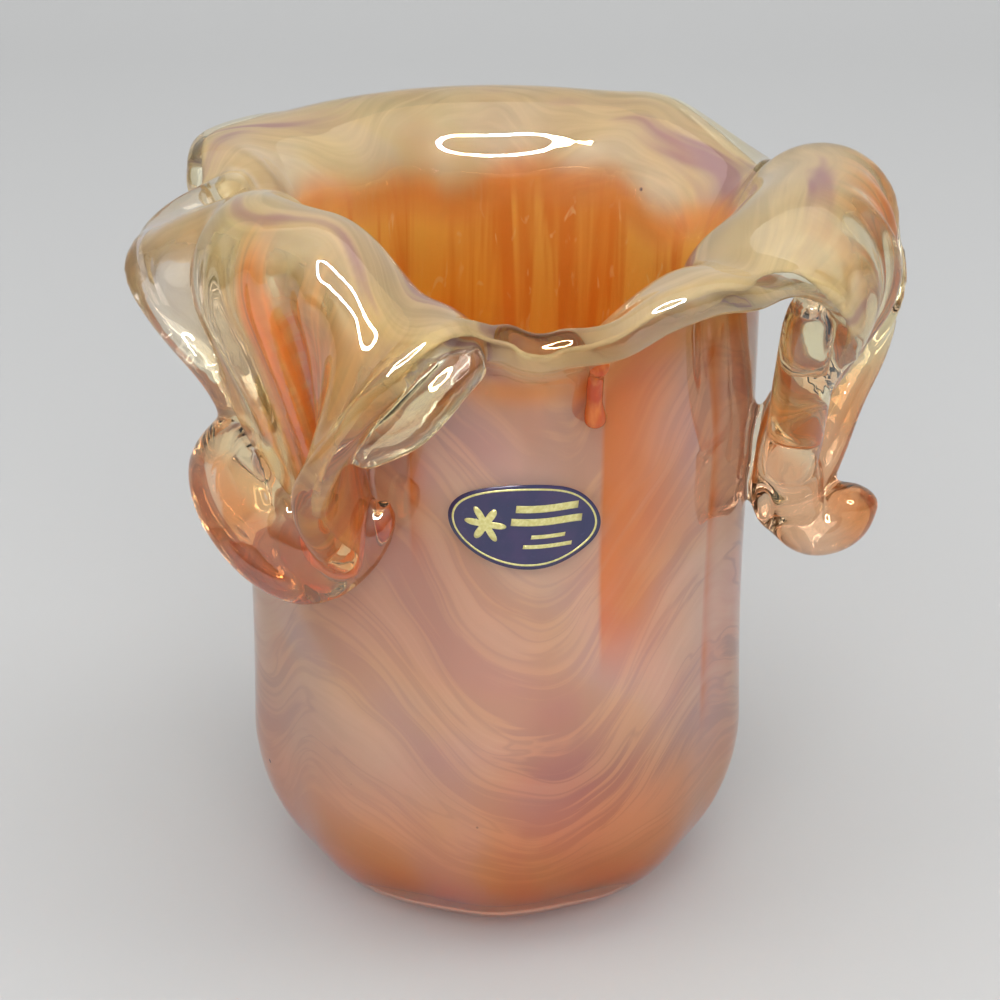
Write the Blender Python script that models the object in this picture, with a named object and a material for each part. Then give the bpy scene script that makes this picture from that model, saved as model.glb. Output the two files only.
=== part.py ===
"""Hand blown cased glass vase with three pulled ears.

Metres, +Z up, origin at the centre of the foot, on the surface the vase stands on. The front faces -Y.

All the glass follows one sheet. Each column of the sheet is a path that leaves the middle of the foot,
turns up into the wall and leans out into the lip. In three places the path is longer: there it arches
over into an ear, comes down outside the wall and ends in a small upturned hook. Every glass piece is a
stretch of that sheet between two distances along the path and between two distances off the sheet.
"""

import math

import bpy
import numpy as np
from mathutils import Vector
from mathutils.bvhtree import BVHTree

MM = 0.001
GAP = 0.3 * MM  # kept between pieces that touch

# Foot and wall
FLOOR_GLASS = 12.0 * MM  # height of the sheet above the table at the middle of the foot
FLAT_RADIUS = 27.0 * MM  # the sheet is flat this far out
CORNER_RADIUS = 26.0 * MM
WALL_OUT = 3.4 * MM  # glass outside the sheet, on the wall
WALL_IN = 2.6 * MM  # glass inside the sheet
FLUTES = 9  # soft upright lobes left by the mould
FLUTE_DEPTH = 0.9 * MM
FLUTE_FADE = 30.0 * MM  # the lobes run out over this distance once the lip turns
WAIST = 1.2 * MM  # how far the wall draws in at its middle
WAIST_START = 30.0 * MM
WAIST_LENGTH = 90.0 * MM
CUP_START = 0.55  # share of the flat radius at which a layer's first ring of points lies

# Layers of the wall, measured off the sheet: outwards is positive
MARBLE_OUT = 0.6 * MM
MARBLE_IN = -0.6 * MM

# Heights up the straight wall, counted from the top of the foot's corner
LAYERS_TOP = 88.0 * MM
LIP_PAST_CREST = 6.0 * MM

# Lip
BEAD = 4.3 * MM  # half the thickness of the rolled edge
BEAD_REACH = 11.0 * MM  # the edge thickens over this distance

# Path shape along the wall, mm and degrees. reach is how far an ear's influence runs each way from its
# middle, clockwise first, and plateau how much of that is at full height. rim_end is where the lip's edge
# would lie without the tongue, tongue the tongue's half widths at its root, narrow the share by which its
# sides draw in, and curl the turn outwards of its lower edge.
VALLEY = dict(start=90.0, length=38.0, turn=48.0, rim_end=128.0)
EARS = {
    "ear_front_left": dict(angle=235.0, reach=(68.0, 37.0), plateau=(8.0, 2.0), start=124.0, length=50.0,
                           turn=200.0, rim_end=157.0, tongue=(46.0, 34.0), end=236.0, narrow=0.45,
                           curl=100.0, curl_length=16.0),
    "ear_right": dict(angle=348.0, reach=(56.0, 34.0), plateau=(8.0, 8.0), start=116.0, length=65.0,
                      turn=209.0, rim_end=156.0, tongue=(35.0, 32.0), end=238.0, narrow=0.38,
                      curl=30.0, curl_length=12.0),
    "ear_back": dict(angle=100.0, reach=(78.0, 63.0), plateau=(40.0, 55.0), start=106.0, length=56.0,
                     turn=196.0, rim_end=144.0, tongue=(42.0, 40.0), end=212.0, narrow=0.35,
                     curl=20.0, curl_length=12.0),
}
NARROW_REACH = 55.0 * MM  # past the crest, the distance over which the sides draw in
TONGUE_SHARPNESS = 1.2  # how quickly a tongue narrows towards its hook
TURN_SHARPNESS = 0.6
LEAN = 62.8 * MM  # the tongues come no nearer to the axis than this
LEAN_SOFTNESS = 1.5 * MM
# Where the lip rises or sinks between the ears: angle, half width in degrees, and how far up
LIFTS = ((262.0, 7.0, 7.0 * MM), (278.0, 8.0, -4.0 * MM), (295.5, 6.0, 5.0 * MM), (304.0, 8.0, 8.0 * MM))
# Pleats in the lip: angle, half width in degrees, and how far out (or in) it stands
PLEATS = ((148.0, 7.0, 2.0 * MM), (162.0, 8.0, -5.0 * MM), (213.0, 7.0, -4.0 * MM),
          (322.0, 6.0, -3.0 * MM), (60.0, 8.0, 2.5 * MM))
PLEAT_BASE = 118.0 * MM
PLEAT_RISE = 30.0 * MM
# The glass pulled from each tongue's lower end, as a line of (angle, radius, height, rod radius) in degrees
# and mm: a scoop's rolled edge at the front left, upturned hooks at the right and the back
HOOKS = {
    "ear_front_left": ((219, 75, 126, 4.4), (214, 73.5, 117, 5.0), (218, 73, 109, 5.2),
                       (226, 71.5, 103, 5.4), (234, 69.5, 100.5, 5.6), (240, 68, 103, 5.2),
                       (245, 67.5, 109, 4.6)),
    "ear_right": ((348, 68, 111, 5.8), (347.5, 68, 103, 5.8), (347, 69, 96, 5.9), (347, 73, 91.5, 6.0),
                  (347.5, 78.5, 94, 5.9), (348, 81, 102, 5.7)),
    "ear_back": ((100, 67.5, 110, 5.0), (100, 68.5, 102, 5.2), (100, 73, 97.5, 5.4), (100, 79, 98, 5.2),
                 (100, 83, 103, 5.2)),
}
HOOK_RINGS = 13
HOOK_SIDES = 10
HOOK_END_TAPER = 0.6
TROUGH_ANGLE = 291.0  # the crease in the front wall under the lowest part of the lip
TROUGH_WIDTH = 11.0
TROUGH_DEPTH = 3.0 * MM
TROUGH_START = 50.0 * MM  # heights over which it sinks in, and over which it runs out below the lip
TROUGH_RISE = 60.0 * MM
TROUGH_END = 148.0 * MM
TROUGH_FADE = 12.0 * MM

# Drip of coloured glass under the lip
DRIP_ANGLE = 290.0
DRIP_LENGTH = 17.0 * MM
DRIP_RADIUS = 1.3 * MM
DRIP_KNOB = 1.8 * MM
DRIP_TOP = 148.0 * MM
DRIP_CLEARANCE = 0.7 * MM
DRIP_LEAN = 2.0  # degrees it strays to the right as it runs down

# Paper-backed foil label
LABEL_ANGLE = 277.0
LABEL_HEIGHT = 112.0 * MM
LABEL_WIDTH = 34.0 * MM
LABEL_DEPTH = 20.0 * MM
LABEL_THICKNESS = 0.3 * MM
LABEL_TILT = 9.0  # degrees its right end hangs down
LABEL_LIFT = 0.55 * MM  # its underside clears the glass by this, measured at each point

# Mesh density
COLUMNS = 360
BODY_STRIDE = 8
EDGE_STRIDE = 5
PATH_STEPS = 700
PATH_MARGIN = 2.0 * MM  # the paths are worked out this far past their longest end

THETA = np.arange(COLUMNS) * 360.0 / COLUMNS
CORNER_LENGTH = CORNER_RADIUS * math.pi / 2
WALL_BASE = FLAT_RADIUS + CORNER_LENGTH  # distance along the path where the straight wall begins


def smooth(x):
    x = np.clip(x, 0.0, 1.0)
    return x * x * (3 - 2 * x)


def ease(x):
    """A turn that is half steady and half soft at its ends."""
    return 0.5 * (np.clip(x, 0.0, 1.0) + smooth(x))


def turned(a, b):
    """Signed angle from b to a in degrees, within 180."""
    return (a - b + 180.0) % 360.0 - 180.0


def ear_share(ear):
    """1 at the middle of the ear and 0 from its sides on, for each column."""
    aside = turned(THETA, ear["angle"])
    reach = np.where(aside < 0, ear["reach"][0], ear["reach"][1])
    plateau = np.where(aside < 0, ear["plateau"][0], ear["plateau"][1])
    u = np.clip((np.abs(aside) - plateau) / (reach - plateau), 0.0, 1.0)
    return np.cos(u * math.pi / 2) ** 2


def tongue_share(ear):
    """1 at the middle of the ear's tongue and 0 beside it."""
    aside = turned(THETA, ear["angle"])
    reach = np.where(aside < 0, ear["tongue"][0], ear["tongue"][1])
    return np.cos(np.clip(np.abs(aside) / reach, 0.0, 1.0) * math.pi / 2) ** 2


def blended(key, sharpness=1.0):
    """A path value for each column: the valleys' value, with each ear's value at the ear."""
    value = np.full(COLUMNS, VALLEY[key])
    for ear in EARS.values():
        value += (ear[key] - VALLEY[key]) * ear_share(ear) ** sharpness
    return value


def tongues(key, base_key=None, sharpness=1.0):
    """What the tongues add to a path value, over the ear's base value if it has one."""
    value = np.zeros(COLUMNS)
    for ear in EARS.values():
        base = ear[base_key] if base_key else 0.0
        value += (ear[key] - base) * tongue_share(ear) ** sharpness
    return value


LIFT = sum(height * np.exp(-((turned(THETA, angle) / width) ** 2)) for angle, width, height in LIFTS)
TURN_START = WALL_BASE + blended("start") * MM + LIFT
TURN_LENGTH = blended("length") * MM
TURN = blended("turn", TURN_SHARPNESS)
PATH_END = WALL_BASE + LIFT + (blended("rim_end") + tongues("end", "rim_end", TONGUE_SHARPNESS)) * MM
CURL = tongues("curl", sharpness=1.5)
CURL_LENGTH = 1.0 * MM + tongues("curl_length") * MM
CREST = TURN_START + TURN_LENGTH * np.clip(90.0 / TURN, 0.0, 1.0)  # where the path runs level


def make_paths():
    """Distance along the path, radius and height, each (columns, steps), by adding up short steps."""
    longest = PATH_END.max() + PATH_MARGIN
    along = np.linspace(0.0, longest, PATH_STEPS)[None, :].repeat(COLUMNS, 0)
    heading = 90.0 * np.clip((along - FLAT_RADIUS) / CORNER_LENGTH, 0.0, 1.0)
    heading = heading - TURN[:, None] * ease((along - TURN_START[:, None]) / TURN_LENGTH[:, None])
    curl_start = (PATH_END - CURL_LENGTH)[:, None]
    heading = heading + CURL[:, None] * ease((along - curl_start) / CURL_LENGTH[:, None])
    step = np.diff(along, axis=1)
    middle = np.radians((heading[:, 1:] + heading[:, :-1]) / 2)
    zero = np.zeros((COLUMNS, 1))
    radius = np.hstack([zero, np.cumsum(np.cos(middle) * step, axis=1)])
    height = FLOOR_GLASS + np.hstack([zero, np.cumsum(np.sin(middle) * step, axis=1)])
    return along, radius, height


ALONG, RADIUS, HEIGHT = make_paths()


def sheet(along):
    """Points of the sheet, (columns, rows, 3), at these distances along each column's path."""
    radius = np.stack([np.interp(a, s, r) for a, s, r in zip(along, ALONG, RADIUS)])
    height = np.stack([np.interp(a, s, z) for a, s, z in zip(along, ALONG, HEIGHT)])
    wall = smooth((along - FLAT_RADIUS * 0.6) / CORNER_LENGTH)
    wall = wall * (1 - smooth((along - TURN_START[:, None]) / FLUTE_FADE))
    flutes = FLUTE_DEPTH * np.cos(np.radians(FLUTES * (THETA - TROUGH_ANGLE) + 180.0))[:, None]
    waist = -WAIST * np.sin(np.clip((height - WAIST_START) / WAIST_LENGTH, 0.0, 1.0) * math.pi)
    depth = smooth((height - TROUGH_START) / TROUGH_RISE) * (1 - smooth((height - TROUGH_END) / TROUGH_FADE))
    trough = np.exp(-((turned(THETA, TROUGH_ANGLE) / TROUGH_WIDTH) ** 2))[:, None]
    radius = radius + wall * (flutes + waist) - TROUGH_DEPTH * trough * depth
    for angle, width, reach in PLEATS:
        pleat = np.exp(-((turned(THETA, angle) / width) ** 2))[:, None]
        radius = radius + reach * pleat * smooth((height - PLEAT_BASE) / PLEAT_RISE)
    leaning = LEAN + LEAN_SOFTNESS * np.log1p(np.exp(np.minimum((radius - LEAN) / LEAN_SOFTNESS, 50.0)))
    radius = np.where(along > CREST[:, None], np.maximum(radius, leaning), radius)
    angle = np.radians(drawn_in(along))
    return np.stack([radius * np.cos(angle), radius * np.sin(angle), height], axis=2)


def drawn_in(along):
    """The angle of each point, in degrees: an ear's sides draw in towards its middle past the crest."""
    angle = THETA[:, None] + np.zeros_like(along)
    past = smooth((along - CREST[:, None]) / NARROW_REACH)
    for ear in EARS.values():
        aside = turned(THETA, ear["angle"])[:, None]
        inside = ear_share(ear)[:, None] ** 0.5
        angle = angle - ear["narrow"] * past * aside * inside
    return angle


def off_sheet(along, offset):
    """Points this far off the sheet, along its outward normal."""
    nudge = 0.4 * MM
    up = sheet(along + nudge) - sheet(np.maximum(along - nudge, 0.0))
    points = sheet(along)
    across = np.roll(points, -1, axis=0) - np.roll(points, 1, axis=0)
    normal = np.cross(across, up)
    normal /= np.linalg.norm(normal, axis=2)[:, :, None] + 1e-12
    return points + normal * offset[:, :, None]


def rows_between(first, last, rows):
    """Distances along each path from first to last."""
    share = np.linspace(0.0, 1.0, rows)[None, :]
    return first[:, None] * (1 - share) + last[:, None] * share


def edge_rounding(along):
    """How much of the thickness is left: 1 in the sheet, falling as a half circle to the rolled edge."""
    left = np.clip((PATH_END[:, None] - along) / BEAD, 0.04, 1.0)
    return np.sqrt(1 - (1 - left) ** 2)


def lip_offsets(along):
    """Outer and inner offsets of the full wall with its thicker rolled edge."""
    near_edge = smooth(1 - (PATH_END[:, None] - along) / BEAD_REACH)
    rounding = edge_rounding(along)
    outer = (WALL_OUT + (BEAD - WALL_OUT) * near_edge) * rounding
    inner = -(WALL_IN + (BEAD - WALL_IN) * near_edge) * rounding
    return outer, inner


def foot_offset(along):
    """Outer face of the casing: thick and flat under the foot, thinning up the corner to the wall."""
    share = smooth((along - FLAT_RADIUS) / (CORNER_LENGTH * 0.9))
    return FLOOR_GLASS + (WALL_OUT - FLOOR_GLASS) * share


def material(name, color, roughness, alpha=1.0, transmission=0.0):
    made = bpy.data.materials.new(name)
    made.use_nodes = True
    shader = made.node_tree.nodes["Principled BSDF"]
    shader.inputs["Base Color"].default_value = (*color, 1.0)
    shader.inputs["Roughness"].default_value = roughness
    shader.inputs["Metallic"].default_value = 0.0
    shader.inputs["Alpha"].default_value = alpha
    shader.inputs["Transmission Weight"].default_value = transmission
    made.diffuse_color = (*color, alpha)
    return made


def make_object(name, points, faces, finish, smooth_angle=50.0):
    mesh = bpy.data.meshes.new(name)
    mesh.from_pydata([tuple(p) for p in points], [], faces)
    mesh.validate()
    mesh.shade_smooth()
    mesh.set_sharp_from_angle(angle=math.radians(smooth_angle))
    mesh.materials.append(finish)
    made = bpy.data.objects.new(name, mesh)
    bpy.context.scene.collection.objects.link(made)
    return made


def slab(name, outer, inner, finish, closed_ring=True, poles=None):
    """A solid between two grids of points, (columns, rows, 3).

    closed_ring joins the last column to the first. poles are the outer and inner end points that
    close a cup's first row; without them the first row gets an edge face like the last row's.
    """
    columns, rows = outer.shape[:2]
    points = [*outer.reshape(-1, 3), *inner.reshape(-1, 3)]
    inner_base = columns * rows
    faces = []
    spans = columns if closed_ring else columns - 1
    for i in range(spans):
        a, b = i * rows, (i + 1) % columns * rows
        for j in range(rows - 1):
            faces.append((a + j, b + j, b + j + 1, a + j + 1))
            faces.append((inner_base + a + j + 1, inner_base + b + j + 1,
                          inner_base + b + j, inner_base + a + j))
        last = rows - 1
        faces.append((a + last, b + last, inner_base + b + last, inner_base + a + last))
        if poles is None:
            faces.append((b, a, inner_base + a, inner_base + b))
        else:
            faces.append((2 * inner_base, b, a))
            faces.append((2 * inner_base + 1, inner_base + a, inner_base + b))
    if poles is not None:
        points += [tuple(poles[0]), tuple(poles[1])]
    if not closed_ring:
        end = (columns - 1) * rows
        for j in range(rows - 1):
            faces.append((j, j + 1, inner_base + j + 1, inner_base + j))
            faces.append((end + j + 1, end + j, inner_base + end + j, inner_base + end + j + 1))
    return make_object(name, points, faces, finish)


def cup(name, outer_offset, inner_offset, top, rows, finish):
    """One layer of the body: a cup from the middle of the foot up to a distance along the wall."""
    first = np.full(COLUMNS, FLAT_RADIUS * CUP_START)
    corner_end = np.full(COLUMNS, WALL_BASE)
    low = rows_between(first, corner_end, rows // 2)
    high = rows_between(corner_end, np.full(COLUMNS, top), rows - rows // 2 + 1)[:, 1:]
    along = np.hstack([low, high])
    picked = slice(0, COLUMNS, BODY_STRIDE)
    outer = off_sheet(along, outer_offset(along))[picked]
    inner = off_sheet(along, inner_offset(along))[picked]
    poles = [(0.0, 0.0, side[:, 0, 2].mean()) for side in (outer, inner)]
    return slab(name, outer, inner, finish, poles=poles)


def constant(value):
    return lambda along: np.full_like(along, value)


def build_body(glass):
    top = WALL_BASE + LAYERS_TOP
    cup("amber_lining", constant(MARBLE_IN - GAP), constant(-WALL_IN), top, 13, glass["amber"])
    cup("marbled_layer", constant(MARBLE_OUT), constant(MARBLE_IN), top, 13, glass["marble"])
    return cup("crystal_casing", foot_offset, constant(MARBLE_OUT + GAP), top, 13, glass["crystal"])


def lip_end():
    """Where the lip piece stops: the rolled edge in the valleys, a little past the crest on an ear."""
    return np.minimum(PATH_END, CREST + LIP_PAST_CREST)


def build_lip(glass):
    first = np.full(COLUMNS, WALL_BASE + LAYERS_TOP + GAP)
    last = lip_end()
    straight = rows_between(first, last - BEAD, 8)
    rounded = rows_between(last - BEAD, last, 5)[:, 1:]
    along = np.hstack([straight, rounded])
    outer_offset, inner_offset = lip_offsets(along)
    picked = slice(0, COLUMNS, EDGE_STRIDE)
    slab("rim_lip", off_sheet(along, outer_offset)[picked], off_sheet(along, inner_offset)[picked],
         glass["lip"])


def build_ear(name, ear, glass):
    """The tongue of the lip that hangs outside the wall, joined to the hook at its lower end."""
    first = lip_end() + GAP
    length = PATH_END - first
    middle = int(round(ear["angle"] / EDGE_STRIDE)) * EDGE_STRIDE
    sides = [int(reach // EDGE_STRIDE) * EDGE_STRIDE for reach in ear["tongue"]]
    columns = [c % COLUMNS for c in range(middle - sides[0], middle + sides[1] + 1, EDGE_STRIDE)]
    columns = [c for c in columns if length[c] > BEAD * 1.6]
    last = np.maximum(PATH_END, first + BEAD * 1.2)
    straight = rows_between(first, last - BEAD, 13)
    rounded = rows_between(last - BEAD, last, 5)[:, 1:]
    along = np.hstack([straight, rounded])
    outer_offset, inner_offset = lip_offsets(along)
    outer = off_sheet(along, outer_offset)[columns]
    inner = off_sheet(along, inner_offset)[columns]
    tongue = slab(name, outer, inner, glass["ear"], closed_ring=False)
    hook = build_hook(name, HOOKS[name], glass)
    join = tongue.modifiers.new("hook", "BOOLEAN")
    join.operation = "UNION"
    join.object = hook
    join.use_self = True
    return tongue


def build_hook(name, knots, glass):
    """A rod that passes smoothly through its knots and ends round."""
    knots = np.array(knots)
    turn = np.radians(knots[:, 0])
    places = np.stack([knots[:, 1] * np.cos(turn), knots[:, 1] * np.sin(turn), knots[:, 2], knots[:, 3]], 1)
    places = np.vstack([2 * places[0] - places[1], places, 2 * places[-1] - places[-2]]) * MM
    spans = len(knots) - 1
    centres, radii = [], []
    for k in range(HOOK_RINGS):
        share = k / (HOOK_RINGS - 1)
        span = min(int(share * spans), spans - 1)
        t = share * spans - span
        before, here, after, beyond = places[span:span + 4]
        bend = 2 * before - 5 * here + 4 * after - beyond
        twist = 3 * here - before - 3 * after + beyond
        place = (2 * here + (after - before) * t + bend * t ** 2 + twist * t ** 3) / 2
        centres.append(place[:3])
        radii.append(place[3] * (HOOK_END_TAPER if k == HOOK_RINGS - 1 else 1.0))
    rod = tube(name + "_hook_cutter", centres, radii, HOOK_SIDES, glass["ear"])
    rod.hide_render = True
    rod.display_type = "WIRE"
    return rod


def tube(name, centres, radii, sides, finish):
    """A round rod along centres, closed at both ends."""
    centres = np.array(centres)
    tangents = np.gradient(centres, axis=0)
    points, faces = [], []
    side = np.cross(tangents[0], (0.0, 0.0, 1.0) if abs(tangents[0][2]) < 1e-5 else (1.0, 0.3, 0.0))
    for centre, tangent, radius in zip(centres, tangents, radii):
        tangent = tangent / np.linalg.norm(tangent)
        side = side - tangent * np.dot(side, tangent)
        side /= np.linalg.norm(side)
        other = np.cross(tangent, side)
        for k in range(sides):
            turn = 2 * math.pi * k / sides
            points.append(centre + radius * (math.cos(turn) * side + math.sin(turn) * other))
    rings = len(centres)
    for i in range(rings - 1):
        for k in range(sides):
            a, b = i * sides + k, i * sides + (k + 1) % sides
            faces.append((a, b, b + sides, a + sides))
    faces.append(tuple(range(sides - 1, -1, -1)))
    faces.append(tuple(range((rings - 1) * sides, rings * sides)))
    return make_object(name, points, faces, finish)


def casing_point(angle, height, offset):
    """A point off the casing's or lip's outer face at this angle and height."""
    column = int(round(angle)) % COLUMNS
    wall = (ALONG[column] > WALL_BASE) & (ALONG[column] < TURN_START[column] + 40 * MM)
    along = np.interp(height, HEIGHT[column][wall], ALONG[column][wall])
    grid = np.full((COLUMNS, 1), along)
    return off_sheet(grid, np.full((COLUMNS, 1), WALL_OUT + offset))[column, 0]


def build_drip(glass):
    steps = 9
    centres, radii = [], []
    for k in range(steps):
        share = k / (steps - 1)
        height = DRIP_TOP - DRIP_LENGTH * share
        radius = DRIP_RADIUS + (DRIP_KNOB - DRIP_RADIUS) * smooth((share - 0.6) / 0.25)
        radius *= math.sqrt(max(0.12, 1 - max(0.0, (share - 0.86) / 0.14) ** 2))
        angle = DRIP_ANGLE + DRIP_LEAN * share
        centres.append(casing_point(angle, height, DRIP_KNOB + DRIP_CLEARANCE))
        radii.append(radius)
    tube("front_drip", centres, radii, 8, glass["drip"])


def build_label(glass, casing):
    """An oval of foil that follows the casing: rings of points from its middle to its edge."""
    rings, sides = 3, 28
    faces_of_casing = [tuple(face.vertices) for face in casing.data.polygons]
    surface = BVHTree.FromPolygons([v.co for v in casing.data.vertices], faces_of_casing)
    layers = []
    for lift in (LABEL_LIFT, LABEL_LIFT + LABEL_THICKNESS):
        grid = []
        for ring in range(rings + 1):
            for k in range(1 if ring == 0 else sides):
                turn = 2 * math.pi * k / sides
                across = LABEL_WIDTH / 2 * math.cos(turn) * ring / rings
                up = LABEL_DEPTH / 2 * math.sin(turn) * ring / rings
                up += across * math.tan(math.radians(-LABEL_TILT))
                grid.append(label_point(surface, across, up, lift))
        layers.append(grid)
    count = len(layers[0])
    points = layers[0] + layers[1]
    faces = []
    for k in range(sides):
        n = (k + 1) % sides
        faces.append((count, count + 1 + k, count + 1 + n))
        faces.append((0, 1 + n, 1 + k))
        for ring in range(rings - 1):
            a, b = 1 + ring * sides, 1 + (ring + 1) * sides
            faces.append((count + a + k, count + b + k, count + b + n, count + a + n))
            faces.append((a + n, b + n, b + k, a + k))
        rim = 1 + (rings - 1) * sides
        faces.append((rim + k, rim + n, count + rim + n, count + rim + k))
    make_object("label", points, faces, glass["label"], smooth_angle=30.0)


def label_point(surface, across, up, lift):
    """A point of the label, lifted off the casing's outer face where a line to the axis meets it."""
    wall_radius = FLAT_RADIUS + CORNER_RADIUS + WALL_OUT
    angle = math.radians(LABEL_ANGLE) + across / wall_radius
    outward = Vector((math.cos(angle), math.sin(angle), 0.0))
    start = outward * wall_radius * 2 + Vector((0.0, 0.0, LABEL_HEIGHT + up))
    hit = surface.ray_cast(start, -outward)[0]
    return hit + outward * lift


def main():
    for old in list(bpy.data.objects):
        bpy.data.objects.remove(old, do_unlink=True)
    glass = {
        "amber": material("amber_glass", (0.75, 0.28, 0.04), 0.05, 0.8, 0.6),
        "marble": material("marbled_opal", (0.62, 0.33, 0.22), 0.25),
        "crystal": material("crystal", (0.95, 0.86, 0.80), 0.03, 0.35, 0.95),
        "lip": material("lip_crystal", (0.90, 0.82, 0.68), 0.03, 0.45, 0.95),
        "ear": material("ear_crystal", (0.90, 0.78, 0.52), 0.03, 0.45, 0.95),
        "drip": material("orange_glass", (0.80, 0.20, 0.05), 0.05),
        "label": material("navy_foil", (0.02, 0.02, 0.08), 0.25),
    }
    casing = build_body(glass)
    build_lip(glass)
    for name, ear in EARS.items():
        build_ear(name, ear, glass)
    build_drip(glass)
    build_label(glass, casing)


main()
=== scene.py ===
"""Looks of the hand blown cased glass vase: melted crystal, a marbled colour layer inside it, and a label.

The crystal follows the same sheet as the CAD: each column of the sheet is a path from the middle of the
foot, up the wall, over the lip and, at an ear, down outside. The glass round that sheet, the rolled edges,
the hooks and the places where they melt together are joined by a voxel remesh, and the skin is then cut
into the named pieces that stand for the CAD nodes.
"""

import math

import bpy
import numpy as np
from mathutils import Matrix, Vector
from mathutils.bvhtree import BVHTree
from mathutils.kdtree import KDTree


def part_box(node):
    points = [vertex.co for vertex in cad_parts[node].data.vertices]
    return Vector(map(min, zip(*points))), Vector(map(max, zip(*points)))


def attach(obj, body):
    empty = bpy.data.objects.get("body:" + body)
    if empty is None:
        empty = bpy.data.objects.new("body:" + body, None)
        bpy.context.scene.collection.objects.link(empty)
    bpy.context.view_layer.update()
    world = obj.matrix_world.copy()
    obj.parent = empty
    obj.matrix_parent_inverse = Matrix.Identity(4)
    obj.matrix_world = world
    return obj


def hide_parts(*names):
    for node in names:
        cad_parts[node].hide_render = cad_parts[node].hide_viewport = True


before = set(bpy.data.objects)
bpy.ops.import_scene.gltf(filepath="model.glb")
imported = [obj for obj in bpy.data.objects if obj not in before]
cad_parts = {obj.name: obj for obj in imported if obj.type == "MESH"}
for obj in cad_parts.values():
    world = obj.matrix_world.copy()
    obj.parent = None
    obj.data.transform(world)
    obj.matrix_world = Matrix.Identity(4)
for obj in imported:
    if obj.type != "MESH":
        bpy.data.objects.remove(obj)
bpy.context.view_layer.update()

MM = 0.001

# The sheet's dimensions, as in the CAD, but for a wider right ear and a deeper pleat beside the left one
FLOOR_GLASS = 12.0 * MM
FLAT_RADIUS = 27.0 * MM
CORNER_RADIUS = 26.0 * MM
WALL_OUT = 3.4 * MM
WALL_IN = 2.6 * MM
FLUTES = 9
FLUTE_DEPTH = 0.9 * MM
WAIST = 1.2 * MM
WAIST_START = 30.0 * MM
WAIST_LENGTH = 90.0 * MM
FLUTE_FADE = 30.0 * MM
FLUTE_START = 0.6  # share of the flat radius from which the flutes and the waist set in
LAYERS_TOP = 88.0 * MM
LIP_PAST_CREST = 6.0 * MM
BEAD = 4.3 * MM
BEAD_REACH = 11.0 * MM
VALLEY = dict(start=90.0, length=38.0, turn=48.0, rim_end=128.0)
EARS = {
    "ear_front_left": dict(angle=235.0, reach=(68.0, 37.0), plateau=(8.0, 2.0), start=124.0, length=50.0,
                           turn=200.0, rim_end=157.0, tongue=(46.0, 34.0), end=236.0, narrow=0.45,
                           curl=100.0, curl_length=16.0),
    "ear_right": dict(angle=348.0, reach=(66.0, 34.0), plateau=(10.0, 8.0), start=116.0, length=65.0,
                      turn=209.0, rim_end=156.0, tongue=(35.0, 32.0), end=238.0, narrow=0.38,
                      curl=30.0, curl_length=12.0),
    "ear_back": dict(angle=100.0, reach=(78.0, 63.0), plateau=(40.0, 55.0), start=106.0, length=56.0,
                     turn=196.0, rim_end=144.0, tongue=(42.0, 40.0), end=212.0, narrow=0.35,
                     curl=20.0, curl_length=12.0),
}
NARROW_REACH = 55.0 * MM
TONGUE_SHARPNESS = 1.2
TURN_SHARPNESS = 0.6
LEAN = 62.8 * MM
LEAN_SOFTNESS = 1.5 * MM
# Where the lip rises or sinks between the ears: angle, half width in degrees, and how far up
LIFTS = ((262.0, 7.0, 7.0 * MM), (278.0, 8.0, -4.0 * MM), (295.5, 6.0, 5.0 * MM), (304.0, 8.0, 8.0 * MM))
# Pleats in the lip: angle, half width in degrees, and how far out (or in) it stands
PLEATS = ((148.0, 7.0, 2.0 * MM), (162.0, 8.0, -5.0 * MM), (213.0, 6.5, -6.5 * MM),
          (322.0, 6.0, -3.0 * MM), (60.0, 8.0, 2.5 * MM))
PLEAT_BASE = 118.0 * MM
PLEAT_RISE = 30.0 * MM
# Pulled rods of glass, each a line of (angle, radius and height in mm, rod radius in mm)
RODS = {
    "scoop_front_left": ((226, 71, 138, 3.0), (221.5, 72.5, 130, 4.4), (217, 73, 123, 4.8),
                         (214.5, 72.5, 116, 5.0), (218.5, 72.5, 109, 5.2), (226, 71.5, 103, 5.4),
                         (234, 69.5, 100.5, 5.6), (240, 67, 103, 5.2), (245, 64, 109, 4.6),
                         (249, 61, 119, 3.6)),
    "loop_front_left": ((267, 72, 158, 4.5), (264, 76, 156, 5.0), (261, 79.5, 152, 5.4), (258, 82, 147, 5.0),
                        (254, 83.5, 143, 4.4), (250.5, 84, 140, 3.8)),
    "flap_right": ((3, 86, 136, 3.6), (359, 82, 128, 4.2), (355.5, 76.5, 118, 4.8), (353, 73, 108, 5.0),
                   (350.5, 69.5, 99, 5.2), (348, 68, 93, 5.0)),
    "fold_right": ((330, 75, 155, 4.0), (334.5, 72, 147, 5.6), (338, 70, 133, 6.4), (341, 68, 118, 6.4),
                   (344, 66, 105, 6.0)),
    "hook_right": ((346, 65, 113, 5.6), (345.5, 66.5, 102, 6.4), (345.5, 68, 95, 6.5),
                   (346.5, 72.5, 91.5, 6.2), (347.5, 78.5, 94, 5.9), (348, 81, 102, 5.7)),
    "hook_back": ((100, 66, 112, 5.0), (100, 68, 102, 5.4), (100, 73, 97.5, 5.4), (100, 79, 98, 5.2),
                  (100, 83, 103, 5.2)),
}
TROUGH_ANGLE = 291.0  # the crease in the front wall under the lowest part of the lip
TROUGH_WIDTH = 11.0
TROUGH_DEPTH = 3.0 * MM
TROUGH_START = 50.0 * MM  # heights over which it sinks in, and over which it runs out below the lip
TROUGH_RISE = 60.0 * MM
TROUGH_END = 148.0 * MM
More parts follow.
